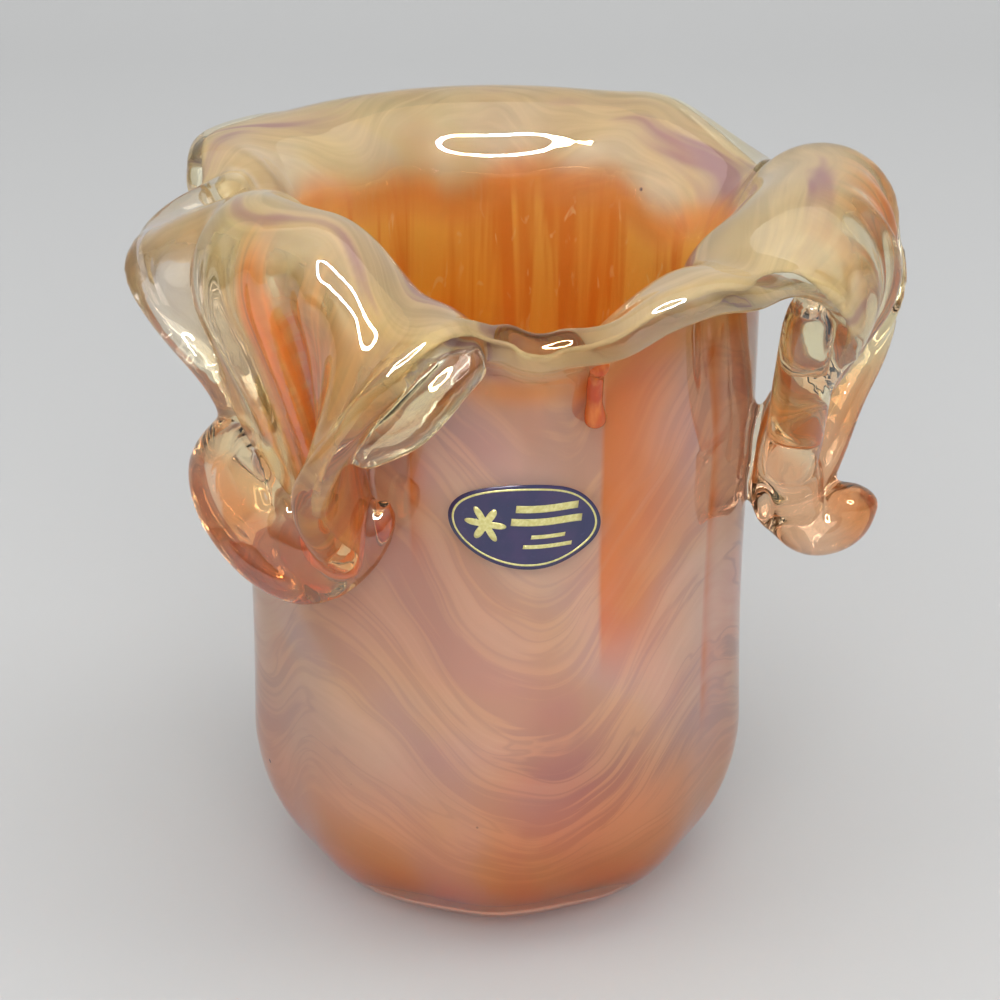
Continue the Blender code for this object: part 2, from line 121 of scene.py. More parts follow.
TROUGH_FADE = 12.0 * MM
PATH_MARGIN = 2.0 * MM  # the paths are worked out this far past their longest end

# Finer shapes than the CAD's
COLUMNS = 600
ROWS = 330
PATH_STEPS = 900
RIB_SPACING = 8.5  # degrees between the ribs that run down a tongue
RIB_HEIGHT = 1.4 * MM
# Creases down the tongues: angle and width in degrees, depth towards the wall in mm
CREASES = ((240.0, 8.0, 5.5), (222.0, 5.0, -2.0), (258.0, 5.0, -2.0), (351.0, 8.0, 2.5), (338.0, 5.0, -1.5))
LAYER_HALF = 0.3 * MM  # half the thickness of the marbled layer
LAYER_ROWS = 220
VOXEL = 0.9 * MM
SMOOTHING = 14

THETA = np.arange(COLUMNS) * 360.0 / COLUMNS
CORNER_LENGTH = CORNER_RADIUS * math.pi / 2
WALL_BASE = FLAT_RADIUS + CORNER_LENGTH


def smooth(x):
    x = np.clip(x, 0.0, 1.0)
    return x * x * (3 - 2 * x)


def ease(x):
    return 0.5 * (np.clip(x, 0.0, 1.0) + smooth(x))


def turned(a, b):
    """Signed angle from b to a in degrees, within 180."""
    return (a - b + 180.0) % 360.0 - 180.0


def bump(angle, width):
    """A soft hill over the columns, 1 at this angle."""
    return np.exp(-((turned(THETA, angle) / width) ** 2))


def ear_share(ear):
    """1 at the middle of the ear and 0 from its sides on, for each column."""
    aside = turned(THETA, ear["angle"])
    reach = np.where(aside < 0, ear["reach"][0], ear["reach"][1])
    plateau = np.where(aside < 0, ear["plateau"][0], ear["plateau"][1])
    u = np.clip((np.abs(aside) - plateau) / (reach - plateau), 0.0, 1.0)
    return np.cos(u * math.pi / 2) ** 2


def tongue_share(ear):
    """1 at the middle of the ear's tongue and 0 beside it."""
    aside = turned(THETA, ear["angle"])
    reach = np.where(aside < 0, ear["tongue"][0], ear["tongue"][1])
    return np.cos(np.clip(np.abs(aside) / reach, 0.0, 1.0) * math.pi / 2) ** 2


def blended(key, sharpness=1.0):
    """A path value for each column: the valleys' value, with each ear's value at the ear."""
    value = np.full(COLUMNS, VALLEY[key])
    for ear in EARS.values():
        value += (ear[key] - VALLEY[key]) * ear_share(ear) ** sharpness
    return value


def tongues(key, base_key=None, sharpness=1.0):
    """What the tongues add to a path value, over the ear's base value if it has one."""
    value = np.zeros(COLUMNS)
    for ear in EARS.values():
        base = ear[base_key] if base_key else 0.0
        value += (ear[key] - base) * tongue_share(ear) ** sharpness
    return value


LIFT = sum(height * bump(angle, width) for angle, width, height in LIFTS)
TURN_START = WALL_BASE + blended("start") * MM + LIFT
TURN_LENGTH = blended("length") * MM
TURN = blended("turn", TURN_SHARPNESS)
PATH_END = WALL_BASE + LIFT + (blended("rim_end") + tongues("end", "rim_end", TONGUE_SHARPNESS)) * MM
CURL = tongues("curl", sharpness=1.5)
CURL_LENGTH = 1.0 * MM + tongues("curl_length") * MM
CREST = TURN_START + TURN_LENGTH * np.clip(90.0 / TURN, 0.0, 1.0)
TONGUE_SHARE = sum(tongue_share(ear) for ear in EARS.values())


def make_paths():
    """Each column's path before it leans or folds: distance along it, radius and height."""
    longest = PATH_END.max() + PATH_MARGIN
    along = np.linspace(0.0, longest, PATH_STEPS)[None, :].repeat(COLUMNS, 0)
    heading = 90.0 * np.clip((along - FLAT_RADIUS) / CORNER_LENGTH, 0.0, 1.0)
    heading = heading - TURN[:, None] * ease((along - TURN_START[:, None]) / TURN_LENGTH[:, None])
    curl_start = (PATH_END - CURL_LENGTH)[:, None]
    heading = heading + CURL[:, None] * ease((along - curl_start) / CURL_LENGTH[:, None])
    step = np.diff(along, axis=1)
    middle = np.radians((heading[:, 1:] + heading[:, :-1]) / 2)
    zero = np.zeros((COLUMNS, 1))
    radius = np.hstack([zero, np.cumsum(np.cos(middle) * step, axis=1)])
    height = FLOOR_GLASS + np.hstack([zero, np.cumsum(np.sin(middle) * step, axis=1)])
    return along, radius, height


ALONG, RADIUS, HEIGHT = make_paths()


def drawn_in(along):
    """The angle at which each place stands, with the tongues' sides drawn in past the crest."""
    angle = THETA[:, None] + np.zeros_like(along)
    past = smooth((along - CREST[:, None]) / NARROW_REACH)
    for ear in EARS.values():
        aside = turned(THETA, ear["angle"])[:, None]
        inside = ear_share(ear)[:, None] ** 0.5
        angle = angle - ear["narrow"] * past * aside * inside
    return angle


def sheet(along):
    """Points of the sheet, (columns, rows, 3), at these distances along each column's path."""
    radius = np.stack([np.interp(a, s, r) for a, s, r in zip(along, ALONG, RADIUS)])
    height = np.stack([np.interp(a, s, z) for a, s, z in zip(along, ALONG, HEIGHT)])
    wall = smooth((along - FLAT_RADIUS * FLUTE_START) / CORNER_LENGTH)
    wall = wall * (1 - smooth((along - TURN_START[:, None]) / FLUTE_FADE))
    flutes = FLUTE_DEPTH * np.cos(np.radians(FLUTES * (THETA - TROUGH_ANGLE) + 180.0))[:, None]
    waist = -WAIST * np.sin(np.clip((height - WAIST_START) / WAIST_LENGTH, 0.0, 1.0) * math.pi)
    depth = smooth((height - TROUGH_START) / TROUGH_RISE) * (1 - smooth((height - TROUGH_END) / TROUGH_FADE))
    trough = bump(TROUGH_ANGLE, TROUGH_WIDTH)[:, None]
    radius = radius + wall * (flutes + waist) - TROUGH_DEPTH * trough * depth
    for angle, width, reach in PLEATS:
        pleat = bump(angle, width)[:, None]
        radius = radius + reach * pleat * smooth((height - PLEAT_BASE) / PLEAT_RISE)
    leaning = LEAN + LEAN_SOFTNESS * np.log1p(np.exp(np.minimum((radius - LEAN) / LEAN_SOFTNESS, 50.0)))
    radius = np.where(along > CREST[:, None], np.maximum(radius, leaning), radius)
    angle = np.radians(drawn_in(along))
    return np.stack([radius * np.cos(angle), radius * np.sin(angle), height], axis=2)


def with_normals(along):
    """Points of the sheet with its tongues creased, and its outward normals."""
    nudge = 0.4 * MM
    points = sheet(along)
    up = sheet(along + nudge) - sheet(np.maximum(along - nudge, 0.0))
    across = np.roll(points, -1, axis=0) - np.roll(points, 1, axis=0)
    normals = np.cross(across, up)
    normals /= np.linalg.norm(normals, axis=2)[:, :, None] + 1e-12
    past = smooth((along - CREST[:, None] - 6 * MM) / (22 * MM))
    for angle, width, depth in CREASES:
        points = points + normals * (depth * MM * bump(angle, width)[:, None] * past)[:, :, None]
    return points, normals


def ribs(along):
    """Ridges that run down the outward face of each tongue and meet at its hook."""
    past = smooth((along - CREST[:, None] - 4 * MM) / (18 * MM))
    wave = np.zeros(COLUMNS)
    for ear in EARS.values():
        aside = turned(THETA, ear["angle"])
        wave += np.cos(aside / RIB_SPACING * 2 * math.pi + 0.6) * tongue_share(ear) ** 0.6
    return RIB_HEIGHT * wave[:, None] * past


def glass_offsets(along):
    """How far the outer and inner faces stand off the sheet."""
    foot = smooth((along - FLAT_RADIUS) / (CORNER_LENGTH * 0.9))
    outer = FLOOR_GLASS + (WALL_OUT - FLOOR_GLASS) * foot
    turn = np.radians(THETA)
    bead = BEAD * (1 + 0.10 * np.sin(5 * turn + 1.0) + 0.07 * np.sin(11 * turn))[:, None]
    near_edge = smooth(1 - (PATH_END[:, None] - along) / BEAD_REACH)
    left = np.clip((PATH_END[:, None] - along) / bead, 0.03, 1.0)
    rounding = np.sqrt(1 - (1 - left) ** 2)
    ripple = 0.25 * MM * np.sin(3 * turn + 0.7)[:, None] * np.sin(along / (23 * MM))
    ripple = ripple * smooth((along - WALL_BASE) / (20 * MM))
    outer = (outer + (bead - WALL_OUT) * near_edge + ripple) * rounding
    inner = (WALL_IN + (bead - WALL_IN) * near_edge + ribs(along)) * rounding
    return outer, -inner


def path_rows(rows, stop_short=0.0):
    """Distances along each path, evenly spaced, up to this far before its end."""
    share = np.linspace(0.0, 1.0, rows + 1)[None, 1:]
    return (PATH_END - stop_short)[:, None] * share


def ring_faces(columns, rows, offset=0, flip=False):
    """Quads of a grid that closes on itself across its columns."""
    i, j = np.meshgrid(np.arange(columns), np.arange(rows - 1), indexing="ij")
    a = offset + i * rows + j
    b = offset + (i + 1) % columns * rows + j
    quads = np.stack([a, b, b + 1, a + 1], axis=-1).reshape(-1, 4)
    return quads[:, ::-1] if flip else quads


def cup_mesh(name, outer, inner):
    """A closed cup between an outer and an inner grid of points, with a pole under each first row."""
    columns, rows = outer.shape[:2]
    count = columns * rows
    poles = np.array([[0.0, 0.0, side[:, 0, 2].mean()] for side in (outer, inner)])
    points = np.vstack([outer.reshape(-1, 3), inner.reshape(-1, 3), poles])
    quads = [ring_faces(columns, rows), ring_faces(columns, rows, count, flip=True)]
    here = np.arange(columns) * rows
    there = np.roll(here, -1)
    last = rows - 1
    quads.append(np.stack([here + last, there + last, count + there + last, count + here + last], 1))
    fans = [np.stack([np.full(columns, 2 * count), there, here], 1),
            np.stack([np.full(columns, 2 * count + 1), count + here, count + there], 1)]
    return mesh_of(name, points, np.vstack(quads), np.vstack(fans))


def mesh_of(name, points, quads, triangles):
    """A smooth mesh of these faces."""
    mesh = bpy.data.meshes.new(name)
    loops = np.concatenate([quads.ravel(), triangles.ravel()])
    sizes = np.concatenate([np.full(len(quads), 4), np.full(len(triangles), 3)])
    mesh.vertices.add(len(points))
    mesh.vertices.foreach_set("co", np.ascontiguousarray(points, dtype=np.float32).ravel())
    mesh.loops.add(len(loops))
    mesh.loops.foreach_set("vertex_index", loops.astype(np.int32))
    mesh.polygons.add(len(sizes))
    mesh.polygons.foreach_set("loop_start", np.concatenate([[0], np.cumsum(sizes)[:-1]]).astype(np.int32))
    mesh.update(calc_edges=True)
    mesh.shade_smooth()
    return mesh


def link(name, mesh):
    made = bpy.data.objects.new(name, mesh)
    bpy.context.scene.collection.objects.link(made)
    return made


def rod_points(centres, radii, sides):
    """Rings of points round a curve, and the quads and end fans that close it."""
    centres = np.array(centres)
    tangents = np.gradient(centres, axis=0)
    tangents /= np.linalg.norm(tangents, axis=1)[:, None]
    side = np.cross(tangents[0], (0.31, 0.77, 0.12))
    rings = []
    turn = np.arange(sides) * 2 * math.pi / sides
    for centre, tangent, radius in zip(centres, tangents, radii):
        side = side - tangent * np.dot(side, tangent)
        side /= np.linalg.norm(side)
        other = np.cross(tangent, side)
        rings.append(centre + radius * (np.cos(turn)[:, None] * side + np.sin(turn)[:, None] * other))
    points = np.vstack([*rings, centres[:1] - tangents[:1] * radii[0] * 0.3,
                        centres[-1:] + tangents[-1:] * radii[-1] * 0.3])
    count = len(centres)
    quads = []
    for i in range(count - 1):
        for k in range(sides):
            a, b = i * sides + k, i * sides + (k + 1) % sides
            quads.append((a, b, b + sides, a + sides))
    start, end, last = count * sides, count * sides + 1, (count - 1) * sides
    fans = [(start, (k + 1) % sides, k) for k in range(sides)]
    fans += [(end, last + k, last + (k + 1) % sides) for k in range(sides)]
    return points, np.array(quads), np.array(fans)


def rod_line(knots, steps=48):
    """The middle line and radii of a rod that passes smoothly through its knots and ends round."""
    knots = np.array(knots, float)
    turn = np.radians(knots[:, 0])
    places = np.stack([knots[:, 1] * np.cos(turn), knots[:, 1] * np.sin(turn), knots[:, 2], knots[:, 3]], 1)
    places = np.vstack([2 * places[0] - places[1], places, 2 * places[-1] - places[-2]]) * MM
    line = []
    spans = len(knots) - 1
    for k in range(steps):
        at = min(k / (steps - 1) * spans, spans - 1e-6)
        span, t = int(at), at - int(at)
        p0, p1, p2, p3 = places[span:span + 4]
        line.append(0.5 * (2 * p1 + (p2 - p0) * t + (2 * p0 - 5 * p1 + 4 * p2 - p3) * t * t
                           + (3 * p1 - p0 - 3 * p2 + p3) * t ** 3))
    line = np.array(line)
    share = np.abs(np.linspace(-1.0, 1.0, steps))
    rounding = np.sqrt(np.clip(1 - np.clip((share - 0.86) / 0.14, 0, 1) ** 2, 0.03, 1))
    return line[:, :3], line[:, 3] * rounding


def ball(angle, radius, height, radii, segments=24):
    """A closed egg turned to face out at this angle; its radii run outward, sideways and up, in mm."""
    rows = []
    turn = np.arange(segments) * 2 * math.pi / segments
    for i in range(1, segments // 2):
        polar = math.pi * i / (segments // 2)
        rows.append(np.stack([np.cos(turn) * math.sin(polar), np.sin(turn) * math.sin(polar),
                              np.full(segments, math.cos(polar))], 1))
    local = np.vstack([*rows, [[0, 0, 1]], [[0, 0, -1]]]) * np.array(radii) + np.array((radius, 0, height))
    c, s = math.cos(math.radians(angle)), math.sin(math.radians(angle))
    points = local @ np.array(((c, s, 0), (-s, c, 0), (0, 0, 1))) * MM
    count = len(rows)
    quads = [(i * segments + k, (i + 1) * segments + k, (i + 1) * segments + (k + 1) % segments,
              i * segments + (k + 1) % segments) for i in range(count - 1) for k in range(segments)]
    top, bottom, last = count * segments, count * segments + 1, (count - 1) * segments
    fans = [(top, k, (k + 1) % segments) for k in range(segments)]
    fans += [(bottom, last + (k + 1) % segments, last + k) for k in range(segments)]
    return points, np.array(quads), np.array(fans)


# Where glass melts together: angle, radius and height, then the radii outward, sideways and up, in mm
WELDS = (
    (221.5, 72.0, 116.0, (5.0, 11.0, 13.0)),
    (231.0, 69.5, 107.0, (5.0, 12.0, 9.0)),
    (352.0, 67.0, 105.0, (5.0, 6.5, 10.0)),
    (237.0, 69.0, 104.0, (4.5, 10.0, 7.0)),
    (346.5, 63.5, 101.0, (6.0, 7.0, 11.0)),
    (100.0, 62.0, 104.0, (6.0, 6.5, 9.0)),
)


def raw_glass():
    """All the crystal as overlapping closed shapes in one mesh."""
    along = path_rows(ROWS)
    points, normals = with_normals(along)
    outer_offset, inner_offset = glass_offsets(along)
    shell = cup_mesh("shell", points + normals * outer_offset[:, :, None],
                     points + normals * inner_offset[:, :, None])
    parts = [link("shell", shell)]
    for name, knots in RODS.items():
        parts.append(link(name, mesh_of(name, *rod_points(*rod_line(knots), 24))))
    for angle, radius, height, radii in WELDS:
        parts.append(link("weld", mesh_of("weld", *ball(angle, radius, height, radii))))
    return parts, along, points, normals


def joined(objects):
    """The objects' meshes in one new object."""
    points, quads, fans = [], [], []
    base = 0
    for ob in objects:
        mesh = ob.data
        co, loops, _ = mesh_arrays(mesh)
        points.append(co)
        sizes = np.empty(len(mesh.polygons), np.int32)
        mesh.polygons.foreach_get("loop_total", sizes)
        starts = np.concatenate([[0], np.cumsum(sizes)[:-1]])
        four = starts[sizes == 4]
        three = starts[sizes == 3]
        quads.append(loops[four[:, None] + np.arange(4)] + base)
        fans.append(loops[three[:, None] + np.arange(3)] + base)
        base += len(mesh.vertices)
        bpy.data.objects.remove(ob, do_unlink=True)
    return link("raw", mesh_of("raw", np.vstack(points), np.vstack(quads), np.vstack(fans)))


def melted(raw):
    """One smooth skin round the overlapping shapes."""
    remesh = raw.modifiers.new("melt", "REMESH")
    remesh.mode = "VOXEL"
    remesh.voxel_size = VOXEL
    relax = raw.modifiers.new("relax", "SMOOTH")
    relax.factor = 0.5
    relax.iterations = SMOOTHING
    graph = bpy.context.evaluated_depsgraph_get()
    mesh = bpy.data.meshes.new_from_object(raw.evaluated_get(graph))
    bpy.data.objects.remove(raw, do_unlink=True)
    return mesh


def mesh_arrays(mesh):
    """A mesh's points, the points of its faces in a row, and its points' normals."""
    co = np.empty(len(mesh.vertices) * 3, np.float32)
    mesh.vertices.foreach_get("co", co)
    loops = np.empty(len(mesh.loops), np.int32)
    mesh.loops.foreach_get("vertex_index", loops)
    normals = np.empty(len(mesh.vertices) * 3, np.float32)
    mesh.vertex_normals.foreach_get("vector", normals)
    return co.reshape(-1, 3), loops, normals.reshape(-1, 3)


def nearest_on_sheet(places, along, points, normals):
    """For each place the sheet's column, distance along the path, side (+1 outer) and distance off it."""
    step_column, step_row = 2, 3
    sub = points[::step_column, ::step_row].reshape(-1, 3)
    tree = KDTree(len(sub))
    for index, point in enumerate(sub):
        tree.insert(point, index)
    tree.balance()
    rows = points[::step_column, ::step_row].shape[1]
    found = np.array([tree.find(place)[1:] for place in places])
    index = found[:, 0].astype(int)
    column = (index // rows) * step_column
    row = (index % rows) * step_row
    off = np.einsum("ij,ij->i", places - points[column, row], normals[column, row])
    return column, along[column, row], np.sign(off), found[:, 1]


def lip_end():
    """Where the lip piece stops: the rolled edge in the valleys, a little past the crest on an ear."""
    return np.minimum(PATH_END, CREST + LIP_PAST_CREST)


SHEET_REACH = 6.4 * MM  # glass further than this off the sheet is a rod
ROD_START = 30.0 * MM  # and it belongs to an ear from this height up the wall
PIECES = ("crystal_casing", "amber_lining", "rim_lip", "ear_front_left", "ear_right", "ear_back")


def piece_of(column, distance, side, away):
    """Which CAD node each place on the skin belongs to, as an index into PIECES."""
    layers = distance < WALL_BASE + LAYERS_TOP
    chosen = np.where(layers, np.where(side > 0, 0, 1), 2)
    angles = np.array([abs(turned(THETA[column], ear["angle"])) for ear in EARS.values()])
    nearest_ear = 3 + np.argmin(angles, axis=0)
    on_tongue = distance > lip_end()[column] + 0.1 * MM
    off_the_sheet = away > SHEET_REACH
    in_ear_height = distance > WALL_BASE + ROD_START
    return np.where(on_tongue | (off_the_sheet & in_ear_height), nearest_ear, chosen)


# The crystal's surface tints
CLEAR_TINT = np.array([0.985, 0.955, 0.90])
STRAW_TINT = np.array([0.97, 0.87, 0.52])
AMBER_TINT = np.array([1.0, 0.62, 0.20])
# painted glow: an orange tint for the foot's glass, standing in for light glowing through the base
PAINTED_GLOW_TINT = np.array([0.99, 0.24, 0.05])
ROSY_TINT = np.array([0.97, 0.86, 0.84])
PLUM_TINT = np.array([0.93, 0.72, 0.74])
ORANGE_TINT = np.array([0.99, 0.33, 0.09])
RECESS_ANGLE = 239.0  # the deepest crease of the front left ear
SHOULDER_ANGLE = 195.0  # where the lip turns over beside it
SCOOP_ANGLE = 232.0


def tint_of(column, distance, side, away, places):
    """The crystal's surface tint: clear with a breath of straw, amber inside the body, warm at the edges,
    and orange on the outer glass of the foot as painted glow of light shining through the base.
    """

    def towards(colour, share):
        return tint + (colour - tint) * share[:, None]

    tint = CLEAR_TINT
    height = distance - WALL_BASE
    lining = (side < 0) * (1 - smooth((height - 75 * MM) / (55 * MM)))
    past = smooth((distance - CREST[column]) / (12 * MM))
    edge = smooth(1 - (PATH_END[column] - distance) / (14 * MM))
    wave = 0.5 + 0.5 * np.sin(THETA[column] / 17.0 + distance / (19 * MM))
    tint = towards(ROSY_TINT, (1 - past) * (1 - lining) * wave * 0.8)
    tint = towards(STRAW_TINT, past * (0.35 + 0.65 * wave))
    tint = towards(AMBER_TINT, lining * 0.9)
    tint = towards(STRAW_TINT, edge * 0.5)
    # painted glow: the outer glass of the foot is tinted orange as if light glowed through the base
    foot = 1 - smooth((places[:, 2] - 5 * MM) / (22 * MM))
    tint = towards(PAINTED_GLOW_TINT, foot * (side > 0) * 0.95)
    recess = bump(RECESS_ANGLE, 13.0)[column] * smooth((distance - CREST[column] - 10 * MM) / (18 * MM))
    tint = towards(AMBER_TINT, recess * 0.85)
    shoulder = bump(SHOULDER_ANGLE, 14.0)[column] * smooth((height - 95 * MM) / (20 * MM))
    tint = towards(PLUM_TINT, shoulder * 0.6)
    low = (1 - smooth((places[:, 2] - 110 * MM) / (30 * MM))) * (distance > CREST[column])
    low = low * smooth((np.abs(away) - 3 * MM) / (3 * MM))
    on_scoop = np.abs(turned(THETA[column], SCOOP_ANGLE)) < 40
    hook_tip = smooth((places[:, 0] - 72 * MM) / (8 * MM))
    tint = towards(ORANGE_TINT, low * np.where(on_scoop, 0.95, 0.6 + 0.35 * hook_tip))
    return np.clip(tint, 0.0, 1.0)


def cut_skin(mesh, along, points, normals):
    """The skin's pieces as objects that share the whole skin's normals."""
    co, loops, skin_normals = mesh_arrays(mesh)
    column, distance, side, away = nearest_on_sheet(co, along, points, normals)
    label = piece_of(column, distance, side, away)
    tint = tint_of(column, distance, side, away, co)
    quads = loops.reshape(-1, 4)
    face_label = label[quads[:, 0]]
    made = {}
    for index, name in enumerate(PIECES):
        mine = quads[face_label == index]
        used, packed = np.unique(mine, return_inverse=True)
        piece = mesh_of(name + "_glass", co[used], packed.reshape(-1, 4), np.empty((0, 3), int))
        piece.normals_split_custom_set_from_vertices([tuple(n) for n in skin_normals[used]])
        layer = piece.color_attributes.new("tint", "FLOAT_COLOR", "POINT")
        rgba = np.hstack([tint[used], np.ones((len(used), 1))]).astype(np.float32)
        layer.data.foreach_set("color", rgba.ravel())
        made[name] = link(name + "_glass", piece)
    return made


def add_vector(mesh, name, values):
    """Write a vector for each of the mesh's points, for its material to read."""
    layer = mesh.attributes.new(name, "FLOAT_VECTOR", "POINT")
    layer.data.foreach_set("vector", np.ascontiguousarray(values, dtype=np.float32).ravel())


# Where the colour sagged while it was hot: angle, reach each way in degrees, depth in mm
DRAPES = ((286.0, 36.0, 22.0, 42.0), (20.0, 24.0, 30.0, 34.0), (75.0, 20.0, 18.0, 22.0),
          (128.0, 26.0, 30.0, 40.0), (200.0, 24.0, 16.0, 26.0))

# Orange panels: the angle of their sharp left edge, how far they fade to the right in degrees, and the
# height up the wall at which they begin, in mm
PANELS = ((295.5, 15.0, 30.0), (327.5, 4.5, 4.0), (250.0, 4.0, 60.0), (58.0, 8.0, 40.0), (136.0, 9.0, 30.0),
          (188.0, 7.0, 50.0))
PANEL_EDGE = 0.9  # degrees
PANEL_RISE = 18.0 * MM

# Where an ear is clear: angle and width in degrees
WINDOWS = ((206.0, 10.0), (259.0, 7.0), (8.0, 9.0), (335.0, 6.0))

AMBER_TOP = 100.0 * MM  # up the wall, where the opal ends and the clear lip begins
AMBER_FADE = 16.0 * MM
FLOW_WIDTH = 55.0 * MM  # the body's radius, which turns an angle into a length across the pattern


def marbled_sheet():
    """The thin layer of colour inside the crystal, with the numbers that steer its pattern.

    flow is the place in the marbling. zone holds the orange panels, the fade into the lip and the tongues.
    extra holds the painted glow of the foot, orange that stands in for light shining through the base; the
    height in tenths of a metre, which also steers the painted shade low on the body and the painted glints
    high inside; and the orange crease of the front left ear. side is 0 on the outer face and 1 on the inner,
    and its second value marks the clear windows.
    """
    along = path_rows(LAYER_ROWS, 5.0 * MM)
    points, normals = with_normals(along)
    picked = slice(0, COLUMNS, 2)
    outer = (points + normals * LAYER_HALF)[picked]
    inner = (points - normals * LAYER_HALF)[picked]
    mesh = cup_mesh("marbled_swirls", outer, inner)
    height = along - WALL_BASE
    drape = np.zeros(COLUMNS)
    for angle, left, right, depth in DRAPES:
        aside = turned(THETA, angle)
        drape += depth * MM * np.exp(-((aside / np.where(aside < 0, left, right)) ** 2))
    drape = drape[:, None] * (0.35 + 0.65 * smooth(1 - np.abs(height - 45 * MM) / (100 * MM)))
    level = np.zeros_like(height)
    round_the_body = np.radians(THETA)[:, None] * FLOW_WIDTH + level
    flow = np.stack([round_the_body, height + drape, level], 2)[picked].reshape(-1, 3)
    band = np.zeros_like(height)
    for angle, reach, low in PANELS:
        aside = turned(THETA, angle)
        across = smooth(aside / PANEL_EDGE + 0.5) * np.exp(-np.maximum(aside, 0.0) ** 2 / reach ** 2)
        band += across[:, None] * smooth((height - low * MM) / PANEL_RISE)
    turn = np.radians(THETA)
    wavy = (2.6 * np.sin(6 * turn) + 1.6 * np.sin(13 * turn + 1.0)) * MM
    fade = smooth((height - AMBER_TOP - wavy[:, None]) / AMBER_FADE)
    tongue = smooth((along - CREST[:, None] - 2 * MM) / (14 * MM)) * (TONGUE_SHARE[:, None] ** 1.5)
    zone = np.stack([band, fade, tongue], 2)[picked].reshape(-1, 3)
    recess = bump(RECESS_ANGLE, 11.0) + 0.4 * bump(352.0, 12.0)
    recess = recess[:, None] * smooth((along - CREST[:, None] - 12 * MM) / (14 * MM))
    # painted glow: the foot of the layer turns orange as if light shone through the base
    glow = smooth(1 - (height + 30 * MM) / (46 * MM))
    extra = np.stack([glow, height / (100 * MM), recess], 2)[picked].reshape(-1, 3)
    window = np.zeros(COLUMNS)
    for angle, width in WINDOWS:
        window += bump(angle, width)
    window = (window[:, None] * smooth((along - CREST[:, None] - 4 * MM) / (12 * MM)))[picked].reshape(-1)
    side = np.zeros((len(flow) * 2 + 2, 3))
    side[:len(flow), 1] = window
    side[len(flow):2 * len(flow), 1] = window
    side[len(flow):2 * len(flow), 0] = 1.0
    side[-1, 0] = 1.0
    for name, values in (("flow", flow), ("zone", zone), ("extra", extra)):
        add_vector(mesh, name, np.vstack([values, values, values[:1], values[:1]]))
    add_vector(mesh, "side", side)
    return link("marbled_swirls", mesh)


class Nodes:
    """A short way to write a material's nodes."""

    def __init__(self, name):
        self.material = bpy.data.materials.new(name)
        self.material.use_nodes = True
        self.tree = self.material.node_tree
        self.shader = self.tree.nodes["Principled BSDF"]

    def add(self, kind, **values):
        node = self.tree.nodes.new(kind)
        for key, value in values.items():
            setattr(node, key, value)
        return node

    def join(self, source, target):
        self.tree.links.new(source, target)

    def feed(self, socket, value):
        if isinstance(value, bpy.types.NodeSocket):
            self.join(value, socket)
        elif hasattr(socket.default_value, "__len__") and not hasattr(value, "__len__"):
            socket.default_value = [value] * len(socket.default_value)
        else:
            socket.default_value = value

    def give(self, name, value):
        """Set one of the shader's inputs to a number, a colour or another node's output."""
        self.feed(self.shader.inputs[name], value)

    def attribute(self, name, vector=True):
        node = self.add("ShaderNodeAttribute", attribute_name=name)
        return node.outputs["Vector" if vector else "Color"]

    def parts(self, vector):
        node = self.add("ShaderNodeSeparateXYZ")
        self.join(vector, node.inputs[0])
        return node.outputs

    def math(self, operation, a, b=0.0, clamp=False):
        node = self.add("ShaderNodeMath", operation=operation, use_clamp=clamp)
        self.feed(node.inputs[0], a)
        self.feed(node.inputs[1], b)
        return node.outputs[0]

    def times(self, a, b, clamp=False):
        return self.math("MULTIPLY", a, b, clamp)

    def vector(self, operation, a, b):
        node = self.add("ShaderNodeVectorMath", operation=operation)
        self.feed(node.inputs[0], a)
        self.feed(node.inputs[1], b)
        return node.outputs[0]

    def noise(self, vector, scale, detail=3.0, roughness=0.5, distortion=0.0, colour=False):
        node = self.add("ShaderNodeTexNoise")
        self.join(vector, node.inputs["Vector"])
        for key, number in (("Scale", scale), ("Detail", detail), ("Roughness", roughness),
                            ("Distortion", distortion)):
            node.inputs[key].default_value = number
        return node.outputs["Color" if colour else "Fac"]

    def ramp(self, value, low, high, to_low=0.0, to_high=1.0):
        node = self.add("ShaderNodeMapRange", interpolation_type="SMOOTHSTEP")
        self.feed(node.inputs["Value"], value)
        for key, number in (("From Min", low), ("From Max", high), ("To Min", to_low), ("To Max", to_high)):
            node.inputs[key].default_value = number
        return node.outputs["Result"]

    def mix(self, share, a, b, blend="MIX"):
        node = self.add("ShaderNodeMix", data_type="RGBA", blend_type=blend)
        self.feed(node.inputs[0], share)
        self.feed(node.inputs[6], (*a, 1.0) if isinstance(a, tuple) else a)
        self.feed(node.inputs[7], (*b, 1.0) if isinstance(b, tuple) else b)
        return node.outputs[2]

    def place(self):
        return self.add("ShaderNodeTexCoord").outputs["Object"]

    def bump(self, height, strength, distance):
        node = self.add("ShaderNodeBump")
        node.inputs["Strength"].default_value = strength
        node.inputs["Distance"].default_value = distance
        self.join(height, node.inputs["Height"])
        return node.outputs[0]


# The colours of the marbled layer
SALMON = (0.82, 0.57, 0.39)
ROSE = (0.86, 0.47, 0.36)
PLUM = (0.42, 0.20, 0.22)
PEACH = (0.94, 0.68, 0.50)
MAUVE = (0.54, 0.29, 0.29)
HAZE = (0.80, 0.66, 0.60)
ORANGE = (0.78, 0.21, 0.03)
# painted glow: orange for the foot, as if lit through the base
PAINTED_GLOW = (1.0, 0.34, 0.05)
# painted shade: multiplied into the lower body, darker where the light from above falls less
PAINTED_LOW_SHADE = (0.80, 0.72, 0.67)
AMBER = (0.92, 0.36, 0.06)
GOLD = (1.0, 0.66, 0.16)
